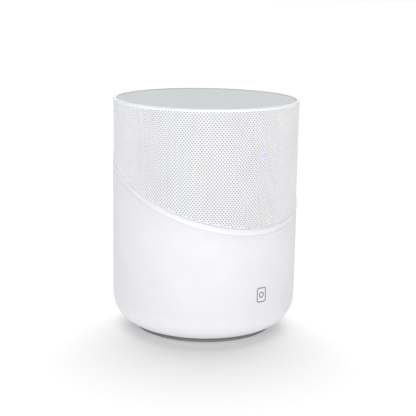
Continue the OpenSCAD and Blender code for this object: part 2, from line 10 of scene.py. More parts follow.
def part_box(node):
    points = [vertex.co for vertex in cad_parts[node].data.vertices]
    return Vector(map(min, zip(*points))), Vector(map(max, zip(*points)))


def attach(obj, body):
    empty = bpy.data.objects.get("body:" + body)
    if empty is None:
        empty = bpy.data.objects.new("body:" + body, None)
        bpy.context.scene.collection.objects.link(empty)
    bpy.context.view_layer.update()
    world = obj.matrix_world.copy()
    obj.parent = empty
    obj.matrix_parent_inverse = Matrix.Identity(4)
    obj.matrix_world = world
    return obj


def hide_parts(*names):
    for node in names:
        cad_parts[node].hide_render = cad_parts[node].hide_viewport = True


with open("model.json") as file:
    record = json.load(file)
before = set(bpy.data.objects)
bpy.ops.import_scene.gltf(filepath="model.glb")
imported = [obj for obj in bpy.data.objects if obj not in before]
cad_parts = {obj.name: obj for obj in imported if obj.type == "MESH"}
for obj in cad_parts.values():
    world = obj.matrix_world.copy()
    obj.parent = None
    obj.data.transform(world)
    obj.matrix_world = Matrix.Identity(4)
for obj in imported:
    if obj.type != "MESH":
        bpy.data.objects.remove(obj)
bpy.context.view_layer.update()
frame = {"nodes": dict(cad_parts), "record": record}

MM = 0.001

# ---------------------------------------------------------------- sizes from the frame

RIM_LOW, RIM_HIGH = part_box("top_rim")
PANEL_LOW, PANEL_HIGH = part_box("top_panel")
TRIM_LOW, TRIM_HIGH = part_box("slant_trim")
GRILLE_LOW, GRILLE_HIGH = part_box("grille_sleeve")
LINER_LOW, LINER_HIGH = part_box("grille_liner")
FOOT_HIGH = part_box("foot_ring")[1]
BADGE_LOW, BADGE_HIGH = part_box("badge")
LIGHT_LOW, LIGHT_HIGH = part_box("light_pipe")
BAY_LOW, BAY_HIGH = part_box("io_panel")

R = TRIM_HIGH.x  # the cabinet's outer radius
TOP = RIM_HIGH.z
WALL = 2.8 * MM
CORNER_R = 25 * MM
FLOOR_Z = FOOT_HIGH.z  # underside of the cabinet
GROOVE = 0.4 * MM  # shadow gap under the trim band
BAND_H = 5.0 * MM  # the trim band's own height
SLANT_MID = (TRIM_HIGH.z + TRIM_LOW.z + BAND_H) / 2
SLOPE = (TRIM_HIGH.z - SLANT_MID) / R  # rise of the slanted plane per metre towards the back
SEGMENTS = 288
FRONT = -math.pi / 2
# painted light: the grille metal and its cloth take a violet colour and glow round this place
LIGHT_AT = Vector((0, -LINER_HIGH.x, (LIGHT_LOW.z + LIGHT_HIGH.z) / 2))  # the status light


def slant(y):
    """Height of the slanted plane at a depth y."""
    return SLANT_MID + SLOPE * y


# ---------------------------------------------------------------- materials


class Nodes:
    """A new material with a Principled shader and a few ways to add texture to it."""

    def __init__(self, name, color, roughness, metallic=0.0, specular=0.5):
        self.material = bpy.data.materials.new(name)
        self.material.use_nodes = True
        self.tree = self.material.node_tree
        self.tree.nodes.clear()
        output = self.add("OutputMaterial")
        self.shader = self.add("BsdfPrincipled")
        self.link(self.shader.outputs[0], output.inputs["Surface"])
        self.color = color
        self.shader.inputs["Base Color"].default_value = (*color, 1)
        self.shader.inputs["Roughness"].default_value = roughness
        self.shader.inputs["Metallic"].default_value = metallic
        self.shader.inputs["Specular IOR Level"].default_value = specular
        self.place = self.add("TexCoord").outputs["Object"]

    def add(self, kind):
        return self.tree.nodes.new("ShaderNode" + kind)

    def link(self, a, b):
        self.tree.links.new(a, b)

    def math(self, operation, a, b=None):
        node = self.add("Math")
        node.operation = operation
        for socket, value in zip(node.inputs, (a, b)):
            if hasattr(value, "is_linked"):
                self.link(value, socket)
            elif value is not None:
                socket.default_value = value
        return node.outputs[0]

    def noise(self, scale, detail=2.0, stretch=None):
        node = self.add("TexNoise")
        node.inputs["Scale"].default_value = scale
        node.inputs["Detail"].default_value = detail
        place = self.place
        if stretch:
            mapping = self.add("Mapping")
            mapping.inputs["Scale"].default_value = stretch
            self.link(place, mapping.inputs["Vector"])
            place = mapping.outputs["Vector"]
        self.link(place, node.inputs["Vector"])
        return node.outputs[0]

    def spread(self, value, low, high):
        """A 0 to 1 value spread over another range."""
        node = self.add("MapRange")
        node.inputs["From Min"].default_value = 0.3
        node.inputs["From Max"].default_value = 0.7
        node.inputs["To Min"].default_value = low
        node.inputs["To Max"].default_value = high
        self.link(value, node.inputs["Value"])
        return node.outputs["Result"]

    def tint(self, value, low, high):
        """Base colour between the finish's colour times low and times high."""
        mix = self.add("Mix")
        mix.data_type = "RGBA"
        self.link(value, mix.inputs[0])
        mix.inputs[6].default_value = (*[min(1.0, c * low) for c in self.color], 1)
        mix.inputs[7].default_value = (*[min(1.0, c * high) for c in self.color], 1)
        self.link(mix.outputs[2], self.shader.inputs["Base Color"])
        return mix.outputs[2]

    def bump(self, value, depth, strength=1.0):
        node = self.add("Bump")
        node.inputs["Distance"].default_value = depth
        node.inputs["Strength"].default_value = strength
        self.link(value, node.inputs["Height"])
        self.link(node.outputs["Normal"], self.shader.inputs["Normal"])

    def rough(self, value, low, high):
        self.link(self.spread(value, low, high), self.shader.inputs["Roughness"])

    def near(self, at, inner, outer, strength):
        """Strength within inner of a place, 0 beyond outer, smooth between."""
        distance = self.add("VectorMath")
        distance.operation = "DISTANCE"
        self.link(self.place, distance.inputs[0])
        distance.inputs[1].default_value = at
        fade = self.add("MapRange")
        fade.interpolation_type = "SMOOTHSTEP"
        fade.inputs["From Min"].default_value = inner
        fade.inputs["From Max"].default_value = outer
        fade.inputs["To Min"].default_value = strength
        fade.inputs["To Max"].default_value = 0.0
        self.link(distance.outputs["Value"], fade.inputs["Value"])
        return fade.outputs["Result"]

    def angle_round(self):
        """The angle round Z, in radians, times the cabinet's radius: a length along its face."""
        split = self.add("SeparateXYZ")
        self.link(self.place, split.inputs[0])
        turn = self.math("ARCTAN2", split.outputs["Y"], split.outputs["X"])
        return self.math("MULTIPLY", turn, R), split.outputs["Z"]


def plastic(name, color, roughness=0.45, grain=2600, depth=0.02 * MM, vary=0.015, specular=0.5):
    """Moulded plastic with a fine eroded grain."""
    n = Nodes(name, color, roughness, specular=specular)
    cloud = n.noise(35, 3)
    n.tint(n.spread(cloud, 0, 1), 1 - vary, 1 + vary)
    n.rough(n.noise(180, 3), roughness - 0.04, roughness + 0.05)
    n.bump(n.noise(grain, 4), depth)
    return n.material


def metal(name, color, roughness=0.35, stretch=(40, 40, 900), depth=0.01 * MM):
    """Bare metal with drawn or turned marks."""
    n = Nodes(name, color, roughness, 1.0)
    marks = n.noise(6, 4, stretch)
    n.tint(n.spread(marks, 0, 1), 0.9, 1.06)
    n.rough(marks, roughness - 0.08, roughness + 0.1)
    n.bump(marks, depth)
    return n.material


def rubber(name, color, roughness=0.75):
    """Matt rubber or felted paper, slightly mottled."""
    n = Nodes(name, color, roughness)
    n.tint(n.spread(n.noise(60, 4), 0, 1), 0.93, 1.05)
    n.rough(n.noise(500, 3), roughness - 0.08, roughness + 0.08)
    n.bump(n.noise(1800, 5), 0.04 * MM)
    return n.material


def painted_metal(name, color, roughness=0.42, specular=0.5, light_at=None):
    """Powder-coated steel with a faint orange peel. If light_at is given, painted violet light is
    mixed into its base colour round that place, standing in for a light behind it."""
    n = Nodes(name, color, roughness, specular=specular)
    paint = n.tint(n.spread(n.noise(50, 3), 0, 1), 0.985, 1.01)
    if light_at is not None:
        # painted light: the base colour turns violet round the status light
        lit = n.add("Mix")
        lit.data_type = "RGBA"
        n.link(n.near(light_at, 1.8 * MM, 2.8 * MM, 0.3), lit.inputs[0])
        n.link(paint, lit.inputs[6])
        lit.inputs[7].default_value = (0.62, 0.58, 0.93, 1)
        n.link(lit.outputs[2], n.shader.inputs["Base Color"])
    n.rough(n.noise(260, 3), roughness - 0.05, roughness + 0.06)
    n.bump(n.noise(900, 2), 0.03 * MM)
    return n.material


def cloth(name, color, pitch=0.55 * MM, light_at=None):
    """Plain-woven acoustic cloth on a cylinder, with a painted violet glow (emission) at one place
    if light_at is given, standing in for a light shining through it.
    """
    n = Nodes(name, color, 0.9)
    along, up = n.angle_round()
    wave = 2 * math.pi / pitch
    warp = n.math("SINE", n.math("MULTIPLY", along, wave))
    weft = n.math("SINE", n.math("MULTIPLY", up, wave))
    weave = n.math("MULTIPLY", warp, weft)
    height = n.math("MULTIPLY_ADD", weave, 0.5)
    height.node.inputs[2].default_value = 0.5
    n.tint(height, 0.86, 1.05)
    n.bump(height, 0.08 * MM)
    n.shader.inputs["Sheen Weight"].default_value = 0.25
    n.shader.inputs["Sheen Roughness"].default_value = 0.5
    # painted glow: the cloth itself emits violet light round the status light
    if light_at is not None:
        n.shader.inputs["Emission Color"].default_value = (0.2, 0.13, 1.0, 1)
        n.link(
            n.near(light_at, 1.0 * MM, 2.4 * MM, 2.6), n.shader.inputs["Emission Strength"]
        )
    return n.material


def circuit(name, color):
    """Solder mask over fine copper tracks."""
    n = Nodes(name, color, 0.3)
    brick = n.add("TexBrick")
    brick.inputs["Scale"].default_value = 260
    brick.inputs["Mortar Size"].default_value = 0.08
    brick.inputs["Color1"].default_value = (*color, 1)
    brick.inputs["Color2"].default_value = (*[c * 0.8 for c in color], 1)
    brick.inputs["Mortar"].default_value = (0.10, 0.36, 0.16, 1)
    n.link(n.place, brick.inputs["Vector"])
    n.link(brick.outputs["Color"], n.shader.inputs["Base Color"])
    n.bump(brick.outputs["Fac"], 0.03 * MM)
    return n.material


def clear(name, color):
    """Clear moulded plastic with a soft surface."""
    n = Nodes(name, color, 0.25)
    n.rough(n.noise(400, 2), 0.2, 0.35)
    n.shader.inputs["Transmission Weight"].default_value = 0.6
    return n.material


WHITE = (0.865, 0.867, 0.885)
# How each material slot of the record is finished.
FINISHES = {
    "cabinet_plastic": lambda s: plastic(s, WHITE, 0.55, specular=0.08),
    "trim_plastic": lambda s: plastic(s, (0.855, 0.857, 0.875), 0.5, specular=0.1),
    # The grille metal and the cloth behind it carry painted violet light round the status light.
    "grille_metal": lambda s: painted_metal(s, (0.905, 0.907, 0.925), 0.55, 0.05, LIGHT_AT),
    "acoustic_cloth": lambda s: cloth(s, (0.52, 0.52, 0.53), light_at=LIGHT_AT),
    "frame_plastic": lambda s: plastic(s, (0.7, 0.7, 0.7), 0.5),
    "touch_panel": lambda s: plastic(s, (0.53, 0.558, 0.561), 0.5, 4200, 0.012 * MM, 0.01, 0.08),
    "badge_metal": lambda s: metal(s, (0.27, 0.275, 0.28), 0.42),
    "foot_rubber": lambda s: rubber(s, (0.2, 0.205, 0.205)),
    "bay_plastic": lambda s: plastic(s, (0.74, 0.74, 0.745), 0.5, 1800, 0.05 * MM),
    "connector_plastic": lambda s: plastic(s, (0.025, 0.025, 0.027), 0.4),
    "connector_shell": lambda s: metal(s, (0.72, 0.71, 0.69), 0.28),
    "contact_metal": lambda s: metal(s, (0.8, 0.79, 0.77), 0.18, (400, 10, 400)),
    "contact_gold": lambda s: metal(s, (0.9, 0.66, 0.28), 0.2),
    "button_plastic": lambda s: plastic(s, (0.3, 0.3, 0.31), 0.45),
    "screw_steel": lambda s: metal(s, (0.6, 0.6, 0.62), 0.35, (300, 300, 300)),
    "circuit_board": lambda s: circuit(s, (0.015, 0.11, 0.045)),
    "chip_black": lambda s: plastic(s, (0.02, 0.02, 0.02), 0.5),
    "transformer_core": lambda s: metal(s, (0.2, 0.16, 0.11), 0.55),
    "capacitor_sleeve": lambda s: plastic(s, (0.03, 0.04, 0.12), 0.3),
    "heatsink_aluminium": lambda s: metal(s, (0.7, 0.71, 0.72), 0.4, (40, 900, 40)),
    "post_brass": lambda s: metal(s, (0.75, 0.55, 0.25), 0.3),
    "inner_plastic": lambda s: plastic(s, (0.03, 0.03, 0.03), 0.5),
    "seal_rubber": lambda s: rubber(s, (0.02, 0.02, 0.02)),
    "basket_metal": lambda s: painted_metal(s, (0.03, 0.03, 0.03), 0.5),
    "motor_steel": lambda s: metal(s, (0.6, 0.61, 0.63), 0.35),
    "ferrite": lambda s: rubber(s, (0.04, 0.04, 0.045), 0.6),
    "cone_paper": lambda s: rubber(s, (0.03, 0.03, 0.03), 0.85),
    "coil_copper": lambda s: metal(s, (0.75, 0.36, 0.18), 0.3, (10, 10, 2600), 0.05 * MM),
    "spider_cloth": lambda s: cloth(s, (0.6, 0.44, 0.14), 0.8 * MM),
    "dome_silk": lambda s: cloth(s, (0.32, 0.35, 0.4), 0.4 * MM),
    "wire_sleeve": lambda s: rubber(s, (0.32, 0.02, 0.015), 0.45),
    "light_pipe_clear": lambda s: clear(s, (0.75, 0.72, 1.0)),
}
MATERIALS = {slot: make(slot) for slot, make in FINISHES.items()}
for part in frame["record"]["subparts"]:
    node = frame["nodes"][part["node"]]
    for held in node.material_slots:
        held.material = MATERIALS[part["material_slot"]]

# ---------------------------------------------------------------- mesh building


def piece(name, points, faces, slot, replaces=(), body="body", crease=32):
    """A new mesh piece that rides on a body, takes a finish and stands for CAD nodes."""
    mesh = bpy.data.meshes.new(name)
    mesh.from_pydata([tuple(p) for p in points], [], faces)
    mesh.polygons.foreach_set("use_smooth", [True] * len(mesh.polygons))
    mesh.set_sharp_from_angle(angle=math.radians(crease))
    mesh.materials.append(MATERIALS[slot])
    made = bpy.data.objects.new(name, mesh)
    bpy.context.scene.collection.objects.link(made)
    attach(made, body)
    if replaces:
        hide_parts(*replaces)
    return made


def arc(r, z, radius, start, end, steps=8):
    """Points (r, z) along an arc about (r, z), its angles in degrees."""
    angles = np.radians(np.linspace(start, end, steps + 1))
    return [(r + radius * math.cos(a), z + radius * math.sin(a)) for a in angles]


def lathe(profile, steps=SEGMENTS, closed=True):
    """Points and faces of a profile turned round Z. A profile point is (radius, height), or
    (radius, height, True) with its height measured from the slanted plane. A profile that isn't
    closed on itself gets a cap at each end."""
    radius = np.array([p[0] for p in profile])
    height = np.array([p[1] for p in profile])
    follows = np.array([float(len(p) > 2 and p[2]) for p in profile])
    angle = np.linspace(0, 2 * math.pi, steps, endpoint=False)[:, None]
    x, y = radius * np.cos(angle), radius * np.sin(angle)
    z = height + follows * (SLANT_MID + SLOPE * y)
    points = np.stack([x, y, z], axis=-1).reshape(-1, 3)
    n = len(profile)
    last = n if closed else n - 1
    faces = []
    for i in range(steps):
        a, b = i * n, (i + 1) % steps * n
        for j in range(last):
            k = (j + 1) % n
            faces.append((a + j, b + j, b + k, a + k))
    if not closed:
        faces += [tuple(range(0, steps * n, n))[::-1], tuple(range(n - 1, steps * n, n))]
    return points, faces


def outline(width, height, radius, steps=6):
    """Points (x, z) of a rectangle with round corners, centred, counter-clockwise."""
    points = []
    for i, (sx, sz) in enumerate(((1, 1), (-1, 1), (-1, -1), (1, -1))):
        x, z = sx * (width / 2 - radius), sz * (height / 2 - radius)
        points += arc(x, z, radius, 90 * i, 90 * i + 90, steps)
    return points


def shifted(points, distance):
    """An outline moved outwards by a distance, along the mean normal of each corner."""
    moved = []
    for i, (x, z) in enumerate(points):
        before, after = Vector(points[i - 1]), Vector(points[(i + 1) % len(points)])
        here = Vector((x, z))
        a, b = (here - before).normalized(), (after - here).normalized()
        normal = Vector((a.y + b.y, -a.x - b.x))
        if normal.length > 0:
            corner = normal.normalized()
            reach = max(0.5, corner.dot(Vector((a.y, -a.x))))
            moved.append(tuple(here + corner * distance / reach))
        else:
            moved.append((x, z))
    return moved


def prism(name, points, y0, y1):
    """A closed prism along Y, used as a cutter."""
    n = len(points)
    corners = [(x, y0, z) for x, z in points] + [(x, y1, z) for x, z in points]
    faces = [tuple(range(n)), tuple(range(2 * n - 1, n - 1, -1))]
    faces += [(i, i + n, (i + 1) % n + n, (i + 1) % n) for i in range(n)]
    mesh = bpy.data.meshes.new(name)
    mesh.from_pydata(corners, [], faces)
    made = bpy.data.objects.new(name, mesh)
    bpy.context.scene.collection.objects.link(made)
    return made


def carve(target, cutter, crease=32):
    """Cuts target with cutter and removes the cutter."""
    modifier = target.modifiers.new("cut", "BOOLEAN")
    modifier.operation = "DIFFERENCE"
    modifier.solver = "EXACT"
    modifier.object = cutter
    graph = bpy.context.evaluated_depsgraph_get()
    cut = bpy.data.meshes.new_from_object(target.evaluated_get(graph))
    target.modifiers.clear()
    cut.polygons.foreach_set("use_smooth", [True] * len(cut.polygons))
    cut.set_sharp_from_angle(angle=math.radians(crease))
    target.data = cut
    bpy.data.objects.remove(cutter)


# ---------------------------------------------------------------- cabinet

INNER_R = R - WALL
CORNER_Z = FLOOR_Z + CORNER_R
BASE_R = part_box("base_plate")[1].x + 0.15 * MM
BASE_HOLE_R = 46 * MM
REBATE = 1.4 * MM
EDGE = 0.25 * MM  # rounding of the edges either side of the groove
EDGE_MID = 0.08 * MM  # how far in the middle of that rounding lies
FACE_RINGS = (4, 9, 15, 22, 30, 39, 49, 59)  # extra rings up the side, in mm above the corner
LIP = -BAND_H - GROOVE  # the cabinet's top edge, measured from the slanted plane

housing = piece(
    "cabinet",
    *lathe(
        [(BASE_R, FLOOR_Z + 0.1 * MM), (BASE_R + 0.1 * MM, FLOOR_Z)]
        + arc(R - CORNER_R, CORNER_Z, CORNER_R, -90, 0, 36)
        + [(R, CORNER_Z + step * MM) for step in FACE_RINGS]
        + [(R, LIP - EDGE, True), (R - EDGE_MID, LIP - EDGE_MID, True), (R - EDGE, LIP, True)]
        + [(INNER_R, LIP, True)]
        + arc(R - CORNER_R, CORNER_Z, CORNER_R - WALL, 0, -90, 16)
        + [(BASE_HOLE_R, FLOOR_Z + WALL), (BASE_HOLE_R, FLOOR_Z + REBATE)]
        + [(BASE_R, FLOOR_Z + REBATE)]
    ),
    "cabinet_plastic",
    ["lower_housing"],
)

BAY_GAP = 0.15 * MM
BAY_CORNER = 6 * MM
BAY_FROM, BAY_TO = BAY_LOW.y - 4 * MM, R + 10 * MM  # the cut's depth, through the whole wall
bay_size = BAY_HIGH - BAY_LOW
bay_mid_z = (BAY_HIGH.z + BAY_LOW.z) / 2
bay_hole = [
    (x, z + bay_mid_z)
    for x, z in outline(
        bay_size.x + 2 * BAY_GAP, bay_size.z + 2 * BAY_GAP, BAY_CORNER + BAY_GAP, 8
    )
]
carve(housing, prism("bay_cutter", bay_hole, BAY_FROM, BAY_TO))

TONGUE = 0.35 * MM  # how far behind the face the groove under the band is closed
trim_inner = INNER_R - 0.1 * MM
grille_r = GRILLE_HIGH.x
ROUND = 0.75 * MM  # rounding of the band's upper edge
BAND_MID = 0.07 * MM  # how far in the middle of its lower rounding lies
BAND_GAP = 0.05 * MM  # between the band and the cabinet's top edge
piece(
    "trim_band",
    *lathe(
        [(R - EDGE, -BAND_H, True), (R - BAND_MID, -BAND_H + BAND_MID, True)]
        + [(R, -BAND_H + EDGE, True)]
        + [(r, z, True) for r, z in arc(R - ROUND, -ROUND, ROUND, 0, 90, 8)]
        + [(trim_inner, 0, True), (trim_inner, LIP + BAND_GAP, True)]
        + [(R - TONGUE, LIP + BAND_GAP, True), (R - TONGUE, -BAND_H, True)]
    ),
    "trim_plastic",
    ["slant_trim"],
)

rim_inner = R - 3 * MM
RIM_ROUND = 0.8 * MM
RIM_IN_ROUND = 0.4 * MM
RIM_STEP = 0.5 * MM  # width of the ledge that holds the panel
RIM_GAP = 0.1 * MM  # between the rim and the grille
piece(
    "rim",
    *lathe(
        [(R, GRILLE_HIGH.z + RIM_GAP * 1.5), (R, TOP - RIM_ROUND)]
        + arc(R - RIM_ROUND, TOP - RIM_ROUND, RIM_ROUND, 0, 90, 10)
        + arc(rim_inner + RIM_IN_ROUND, TOP - RIM_IN_ROUND, RIM_IN_ROUND, 90, 180, 6)
        + [(rim_inner, RIM_LOW.z), (rim_inner + RIM_STEP, RIM_LOW.z)]
        + [(rim_inner + RIM_STEP, GRILLE_HIGH.z + RIM_GAP)]
        + [(R - 0.1 * MM, GRILLE_HIGH.z + RIM_GAP)]
    ),
    "trim_plastic",
    ["top_rim"],
)

PANEL_R = PANEL_HIGH.x
PANEL_EDGE = 0.4 * MM
PANEL_CAP_R = 2 * MM  # the flat cap that closes the middle
piece(
    "touch_surface",
    *lathe(
        [(PANEL_CAP_R, PANEL_LOW.z), (PANEL_R, PANEL_LOW.z)]
        + arc(PANEL_R - PANEL_EDGE, PANEL_HIGH.z - PANEL_EDGE, PANEL_EDGE, 0, 90, 4)
        + [(PANEL_R * k, PANEL_HIGH.z) for k in (0.9, 0.6, 0.3)]
        + [(PANEL_CAP_R, PANEL_HIGH.z)],
        closed=False,
    ),
    "touch_panel",
    ["top_panel"],
)

FOOT_R, FOOT_IN = FOOT_HIGH.x, 44 * MM
FOOT_ROUND, FOOT_BEVEL = 0.6 * MM, 0.3 * MM
CHANNEL_IN, CHANNEL_OUT = 48 * MM, 55 * MM  # a shallow channel in the foot's underside
CHANNEL_DEPTH = 0.5 * MM
piece(
    "foot",
    *lathe(
        arc(FOOT_R - FOOT_ROUND, FOOT_ROUND, FOOT_ROUND, -90, 0, 6)
        + [(FOOT_R, FLOOR_Z), (FOOT_IN, FLOOR_Z), (FOOT_IN, FOOT_BEVEL)]
        + [(FOOT_IN + FOOT_BEVEL, 0), (CHANNEL_IN - FOOT_BEVEL, 0), (CHANNEL_IN, CHANNEL_DEPTH)]
        + [(CHANNEL_OUT, CHANNEL_DEPTH), (CHANNEL_OUT + FOOT_BEVEL, 0)]
    ),
    "foot_rubber",
    ["foot_ring"],
)

# ---------------------------------------------------------------- grille

HOLE_R = 0.65 * MM
HOLE_SIDES = 10
SHEET = 0.8 * MM
COLUMNS = 188
PITCH_U = 2 * math.pi * grille_r / COLUMNS
PITCH_V = 3.16 * MM
MARGIN = 0.12 * MM  # solid metal left round a hole at the sheet's edges
GRILLE_TOP = GRILLE_HIGH.z
GRILLE_GAP = 0.15 * MM  # between the sheet and the trim band
FIRST_ROW = 1.45 * MM  # from the sheet's upper edge to the first row of holes


def lower_edge(u):
    """Height of the grille's lower edge at a length u along its face."""
    return slant(grille_r * math.sin(u / grille_r)) + GRILLE_GAP


def clipped(corners, outside):
    """A convex polygon cut back to where outside(point) is at most 0, as (point, is new) pairs."""
    kept = []
    values = [outside(p) for p in corners]
    for i, (p, a) in enumerate(zip(corners, values)):
        q, b = corners[(i + 1) % len(corners)], values[(i + 1) % len(corners)]
        if a <= 0:
            kept.append((p, a == 0))
        if a * b < 0:
            low, high = 0.0, 1.0
            for _ in range(24):
                t = (low + high) / 2
                middle = (p[0] + t * (q[0] - p[0]), p[1] + t * (q[1] - p[1]))
                if (outside(middle) > 0) == (a > 0):
                    low = t
                else:
                    high = t
            kept.append(((p[0] + t * (q[0] - p[0]), p[1] + t * (q[1] - p[1])), True))
    return kept


def stitch(outer, inner, centre):
    """Triangles between two rings round a centre, as (ring, index) pairs."""

    def turned(ring):
        angles = [math.atan2(v - centre[1], u - centre[0]) for u, v in ring]
        start = angles.index(min(angles))
        order = [(start + k) % len(ring) for k in range(len(ring))]
        return order, [angles[k] for k in order]

    outs, out_angles = turned(outer)
    ins, in_angles = turned(inner)
    out_angles.append(out_angles[0] + 2 * math.pi)
    in_angles.append(in_angles[0] + 2 * math.pi)
    faces, i, j = [], 0, 0
    while i < len(outs) or j < len(ins):
        a, b = outs[i % len(outs)], ins[j % len(ins)]
        if j >= len(ins) or (i < len(outs) and out_angles[i + 1] < in_angles[j + 1]):
            faces.append((("o", a), ("o", outs[(i + 1) % len(outs)]), ("i", b)))
            i += 1
        else:
            faces.append((("o", a), ("i", ins[(j + 1) % len(ins)]), ("i", b)))
            j += 1
    return faces


class Sheet:
    """Gathers the points and faces of a curved, perforated sheet, joining points that coincide."""

    def __init__(self):
        self.points, self.faces, self.known = [], [], {}

    def point(self, u, v, inner):
        key = (round(u * 1e6), round(v * 1e6), inner)
        if key not in self.known:
            self.known[key] = len(self.points)
            r, angle = grille_r - (SHEET if inner else 0), u / grille_r
            self.points.append((r * math.cos(angle), r * math.sin(angle), v))
        return self.known[key]

    def cell(self, corners, flags, centre, circle):
        """One cell of the pattern, with its hole if circle is given."""
        for inner in (False, True):
            ring = [self.point(u, v, inner) for u, v in corners]
            if circle:
                hole = [self.point(u, v, inner) for u, v in circle]
                pick = {"o": ring, "i": hole}
                made = [tuple(pick[r][k] for r, k in f) for f in stitch(corners, circle, centre)]
            else:
                made = [tuple(ring)]
            made = [f for f in made if len(set(f)) > 2]
            self.faces += [f[::-1] for f in made] if inner else made
        if circle:
            self.wall(circle, [True] * len(circle), True)
        self.wall(corners, flags, False)

    def wall(self, ring, flags, flip):
        """Joins the outer and inner faces along the flagged stretches of a ring."""
        for k in range(len(ring)):
            m = (k + 1) % len(ring)
            if flags[k] and flags[m]:
                a, b = self.point(*ring[k], False), self.point(*ring[m], False)
                c, d = self.point(*ring[m], True), self.point(*ring[k], True)
                if len({a, b, c, d}) == 4:
                    self.faces.append((a, b, c, d) if flip else (b, a, d, c))


HALF_U = PITCH_U / 2
NEAR_V = (PITCH_V**2 - PITCH_U**2) / (4 * PITCH_V)
FAR_V = (PITCH_V**2 + PITCH_U**2) / (4 * PITCH_V)
CELL = [(HALF_U, -NEAR_V), (HALF_U, NEAR_V), (0, FAR_V), (-HALF_U, NEAR_V), (-HALF_U, -NEAR_V)]
CELL += [(0, -FAR_V)]
CIRCLE = [
    (HOLE_R * math.cos(a), HOLE_R * math.sin(a))
    for a in np.linspace(0, 2 * math.pi, HOLE_SIDES, endpoint=False) + math.pi / HOLE_SIDES
]


def holds_hole(u, v):
    """Whether a whole hole fits at a place on the sheet, clear of both its edges."""
    reach = HOLE_R + MARGIN
    slope = abs(SLOPE * math.cos(u / grille_r))
    clear = (v - lower_edge(u)) / math.hypot(1, slope)
    return clear > reach and GRILLE_TOP - v > reach


def grille(name, start, end):
    """The part of the grille whose cells lie between two angles, in degrees."""
    sheet = Sheet()
    rows = int((GRILLE_TOP - GRILLE_LOW.z) / (PITCH_V / 2)) + 3
    for row in range(-1, rows):
        v = GRILLE_TOP - FIRST_ROW - row * PITCH_V / 2
        for column in range(COLUMNS):
            u = (column + 0.5 * (row % 2)) * PITCH_U
            if not start <= math.degrees(u / grille_r) < end:
                continue
            corners = [(u + a, v + b) for a, b in CELL]
            low = [b - lower_edge(a) for a, b in corners]
            high = [GRILLE_TOP - b for a, b in corners]
            if max(low) <= 0 or max(high) <= 0:
                continue
            flags = [False] * len(corners)
            if min(low) < 0:
                cut = clipped(corners, lambda p: lower_edge(p[0]) - p[1])
                corners, flags = [p for p, _ in cut], [f for _, f in cut]
            if min(high) < 0:
                cut = clipped(corners, lambda p: p[1] - GRILLE_TOP)
                corners, flags = [p for p, _ in cut], [f for _, f in cut]
            if len(corners) < 3:
                continue
            circle = [(u + a, v + b) for a, b in CIRCLE] if holds_hole(u, v) else None
            sheet.cell(corners, flags, (u, v), circle)
    return piece(name, sheet.points, sheet.faces, "grille_metal", ["grille_sleeve"], crease=28)


grille("grille_right", 0, 90)
grille("grille_back_left", 90, 210)
grille("grille_front", 210, 330)
grille("grille_right_front", 330, 360)

# ---------------------------------------------------------------- cloth behind the grille

CLOTH_GAP = 0.5 * MM  # between the cloth and the slanted plane
CLOTH_ROWS = 12
liner_r = LINER_HIGH.x
points, faces = [], []
for i in range(SEGMENTS):
    angle = 2 * math.pi * i / SEGMENTS
    low = slant(liner_r * math.sin(angle)) + CLOTH_GAP
    for j in range(CLOTH_ROWS + 1):
        z = low + (LINER_HIGH.z - low) * j / CLOTH_ROWS
        points.append((liner_r * math.cos(angle), liner_r * math.sin(angle), z))
for i in range(SEGMENTS):
    a, b = i * (CLOTH_ROWS + 1), (i + 1) % SEGMENTS * (CLOTH_ROWS + 1)
    faces += [(a + j, b + j, b + j + 1, a + j + 1) for j in range(CLOTH_ROWS)]
liner = piece("acoustic_cloth", points, faces, "acoustic_cloth", ["grille_liner"])

# ---------------------------------------------------------------- badge


def curved_band(loops):
    """Points and faces of closed loops on the cabinet's front: (outline, centre z, radius) each."""
    points = []
    for shape, middle, radius in loops:
        for x, z in shape:
            angle = FRONT + x / R
            points.append((radius * math.cos(angle), radius * math.sin(angle), middle + z))
    n, count = len(loops[0][0]), len(loops)
    faces = []
    for i in range(count):
        a, b = i * n, (i + 1) % count * n
        faces += [(a + j, a + (j + 1) % n, b + (j + 1) % n, b + j) for j in range(n)]
    return points, faces


badge_size = BADGE_HIGH - BADGE_LOW
badge_z = (BADGE_HIGH.z + BADGE_LOW.z) / 2
LINE = 1.0 * MM  # width of the mark's lines
BEVEL = 0.12 * MM
PROUD = 0.04 * MM  # how far the mark stands off the face
SUNK = 0.25 * MM  # how deep it is set into it
FRAME_CORNER = 2 * MM
RING_SIZE = 5.2 * MM


def finely(points, longest=0.4 * MM):
    """An outline with its long sides divided, so that it can follow a curved face."""
    fine = []
    for i, (x, z) in enumerate(points):
        u, v = points[(i + 1) % len(points)]
        parts = max(1, math.ceil(math.hypot(u - x, v - z) / longest))
        fine += [(x + (u - x) * k / parts, z + (v - z) * k / parts) for k in range(parts)]
    return fine


def mark(name, width, height, radius, replaces):
    """A raised, bevelled line round a rectangle with round corners, set into the cabinet's face."""
    steps = [
        (0, R - SUNK),
        (0, R),
        (BEVEL, R + PROUD),
        (LINE - BEVEL, R + PROUD),
        (LINE, R),
        (LINE, R - SUNK),
    ]
    middle = finely(outline(width - LINE, height - LINE, radius - LINE / 2, 8))
    loops = [(shifted(middle, LINE / 2 - t), badge_z, r) for t, r in steps]
    return piece(name, *curved_band(loops), "badge_metal", replaces, crease=50)


mark("badge_frame", badge_size.x, badge_size.z, FRAME_CORNER, ["badge"])
mark("badge_ring", RING_SIZE, RING_SIZE, RING_SIZE / 2 - 1e-6, [])

# ---------------------------------------------------------------- connectors

